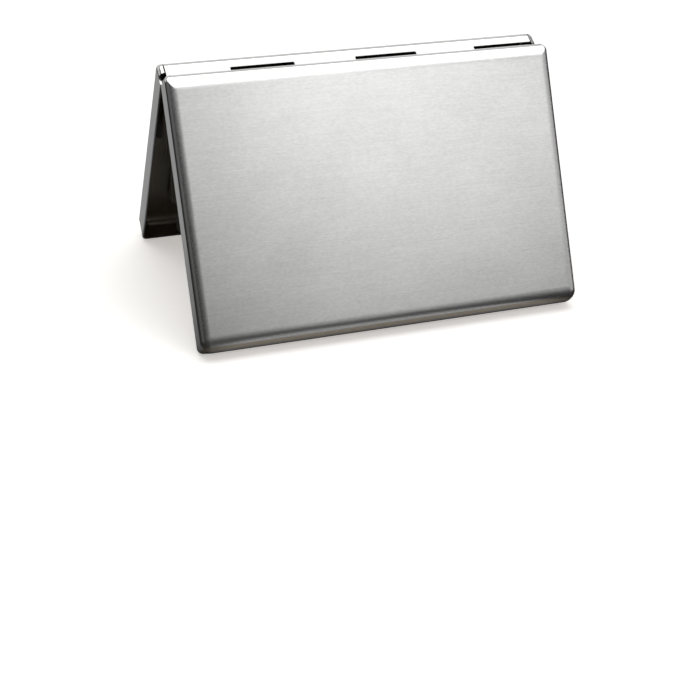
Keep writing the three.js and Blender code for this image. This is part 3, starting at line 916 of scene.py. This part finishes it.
def floor():
    """A pale floor. The steel sees it in a tone of its own, a painted reflection with painted darkness beside
    the case and painted shade and contact shadow under it.
    """
    mesh = bpy.data.meshes.new("floor")
    bm = bmesh.new()
    bmesh.ops.create_grid(bm, x_segments=1, y_segments=1, size=1.5)
    bm.to_mesh(mesh)
    bm.free()
    obj = bpy.data.objects.new("floor", mesh)
    bpy.context.scene.collection.objects.link(obj)
    material = bpy.data.materials.new("floor")
    material.use_nodes = True
    tree = material.node_tree
    node = node_maker(tree)
    shader = first_node(tree, "BSDF_PRINCIPLED")
    shader.inputs["Base Color"].default_value = (0.9, 0.9, 0.9, 1)
    shader.inputs["Emission Color"].default_value = FLOOR_GLOW
    shader.inputs["Emission Strength"].default_value = FLOOR_GLOW_STRENGTH
    shader.inputs["Roughness"].default_value = 0.9
    shader.inputs["Specular IOR Level"].default_value = 0.0

    def maths(operation, *values):
        return node("Math", *values, operation=operation)

    split = tree.nodes.new("ShaderNodeSeparateXYZ")
    tree.links.new(tree.nodes.new("ShaderNodeNewGeometry").outputs["Position"], split.inputs[0])
    beside = maths("ABSOLUTE", split.outputs["X"])
    away = maths("ABSOLUTE", split.outputs["Y"])
    # Painted reflection: dark floor beside the case, for the steel only
    past = maths("SUBTRACT", maths("MULTIPLY", split.outputs["Y"], SIDE_DARK_SLOPE), beside)
    side = node("MapRange", past, SIDE_DARK_AT - SIDE_DARK_BLUR, SIDE_DARK_AT + SIDE_DARK_BLUR, SIDE_DARK_TONE, 1.0)
    # Painted shade under the case, between the shells
    out_of = maths("MAXIMUM", maths("MULTIPLY", beside, 1 / BETWEEN_HALF_WIDTH),
                   maths("MULTIPLY", away, 1 / BETWEEN_HALF_DEPTH))
    between = node("MapRange", out_of, *BETWEEN_FADE, BETWEEN_TONE, 1.0)
    # Painted contact shadow along the rims
    from_rim = maths("ABSOLUTE", maths("SUBTRACT", away, CONTACT_Y))
    past_end = maths("SUBTRACT", beside, CONTACT_END)
    contact_shadow = node("MapRange", maths("MAXIMUM", from_rim, past_end), *CONTACT_FADE, CONTACT_TONE, 1.0)
    tone = maths("MULTIPLY", maths("MULTIPLY", side, between), contact_shadow)
    # Painted reflection: the steel sees the floor in a darker tone of its own
    tone = maths("MULTIPLY", tone, SEEN_TONE)
    seen = node("AddShader", node("BsdfDiffuse", tone), node("Emission", tone, SEEN_GLOW))
    path = tree.nodes.new("ShaderNodeLightPath")
    mix = node("MixShader", path.outputs["Is Glossy Ray"], shader.outputs[0], seen)
    tree.links.new(mix, first_node(tree, "OUTPUT_MATERIAL").inputs["Surface"])
    mesh.materials.append(material)


def area_light(name, at, towards, size, power, glossy=True):
    data = bpy.data.lights.new(name, "AREA")
    data.shape = "RECTANGLE"
    data.size, data.size_y = size
    data.energy = power
    obj = bpy.data.objects.new(name, data)
    obj.location = at
    obj.rotation_mode = "QUATERNION"
    obj.rotation_quaternion = (Vector(towards) - Vector(at)).to_track_quat("-Z", "Y")
    obj.visible_glossy = glossy
    obj.visible_camera = False
    bpy.context.scene.collection.objects.link(obj)


def world():
    """White to the eye; the steel sees a bright ceiling over a dark horizon."""
    made = bpy.data.worlds.new("studio")
    bpy.context.scene.world = made
    made.use_nodes = True
    tree = made.node_tree
    node = node_maker(tree)
    plain = first_node(tree, "BACKGROUND")
    plain.inputs["Color"].default_value = (1, 1, 1, 1)
    plain.inputs["Strength"].default_value = ROOM_LIGHT
    split = tree.nodes.new("ShaderNodeSeparateXYZ")
    tree.links.new(tree.nodes.new("ShaderNodeTexCoord").outputs["Generated"], split.inputs[0])
    height = node("MapRange", split.outputs["Z"], ROOM_LOWEST, 1.0)
    value = node("ValToRGB", height)
    elements = value.node.color_ramp.elements
    while len(elements) < len(ROOM_BY_HEIGHT):
        elements.new(0.5)
    for element, (position, level) in zip(elements, ROOM_BY_HEIGHT):
        element.position = position
        element.color = (level, level, level, 1)

    def reaching(axis, start, end, level):
        return node("MapRange", split.outputs[axis], start, end, 0.0, level)

    sides = [reaching(*ROOM_LEFT), reaching(*ROOM_RIGHT), reaching(*ROOM_BEHIND)]
    sides.append(node("Math", *[reaching(*limit) for limit in ROOM_FRONT_RIGHT], operation="MINIMUM"))
    for side in sides:
        value = node("Math", value, side, operation="MAXIMUM")
    path = tree.nodes.new("ShaderNodeLightPath")
    eye = node("Background", (1, 1, 1, 1), BACKGROUND)
    first = node("MixShader", path.outputs["Is Camera Ray"], plain.outputs[0], eye)
    seen = node("Background", value, ROOM_STRENGTH)
    mix = node("MixShader", path.outputs["Is Glossy Ray"], first, seen)
    tree.links.new(mix, first_node(tree, "OUTPUT_WORLD").inputs["Surface"])


def camera():
    """A camera at its place, turned by azimuth, elevation and roll."""
    out = math.cos(CAMERA_ELEVATION)
    back = Vector((math.sin(CAMERA_AZIMUTH) * out, -math.cos(CAMERA_AZIMUTH) * out,
                   math.sin(CAMERA_ELEVATION)))
    right = (-back).cross(Vector((0, 0, 1))).normalized()
    up = right.cross(-back)
    across = math.cos(CAMERA_ROLL) * right + math.sin(CAMERA_ROLL) * up
    above = -math.sin(CAMERA_ROLL) * right + math.cos(CAMERA_ROLL) * up
    data = bpy.data.cameras.new("camera")
    data.sensor_width = 36.0
    data.lens = CAMERA_LENS
    data.clip_start, data.clip_end = 0.01, 20.0
    obj = bpy.data.objects.new("camera", data)
    obj.matrix_world = Matrix.Translation(CAMERA_AT) @ Matrix((across, above, back)).transposed().to_4x4()
    bpy.context.scene.collection.objects.link(obj)
    bpy.context.scene.camera = obj


floor()
world()
for number, (x, z, power) in enumerate(SOFTBOX_PANELS):
    area_light(f"softbox_{number}", (x, SOFTBOX_Y, z), SOFTBOX_AIM, SOFTBOX_PANEL, power)
area_light("overhead", (0, 0, OVERHEAD_HEIGHT), (0, 0, 0), OVERHEAD_SIZE, OVERHEAD_POWER, glossy=False)
camera()
bpy.context.scene.view_settings.view_transform = "Standard"
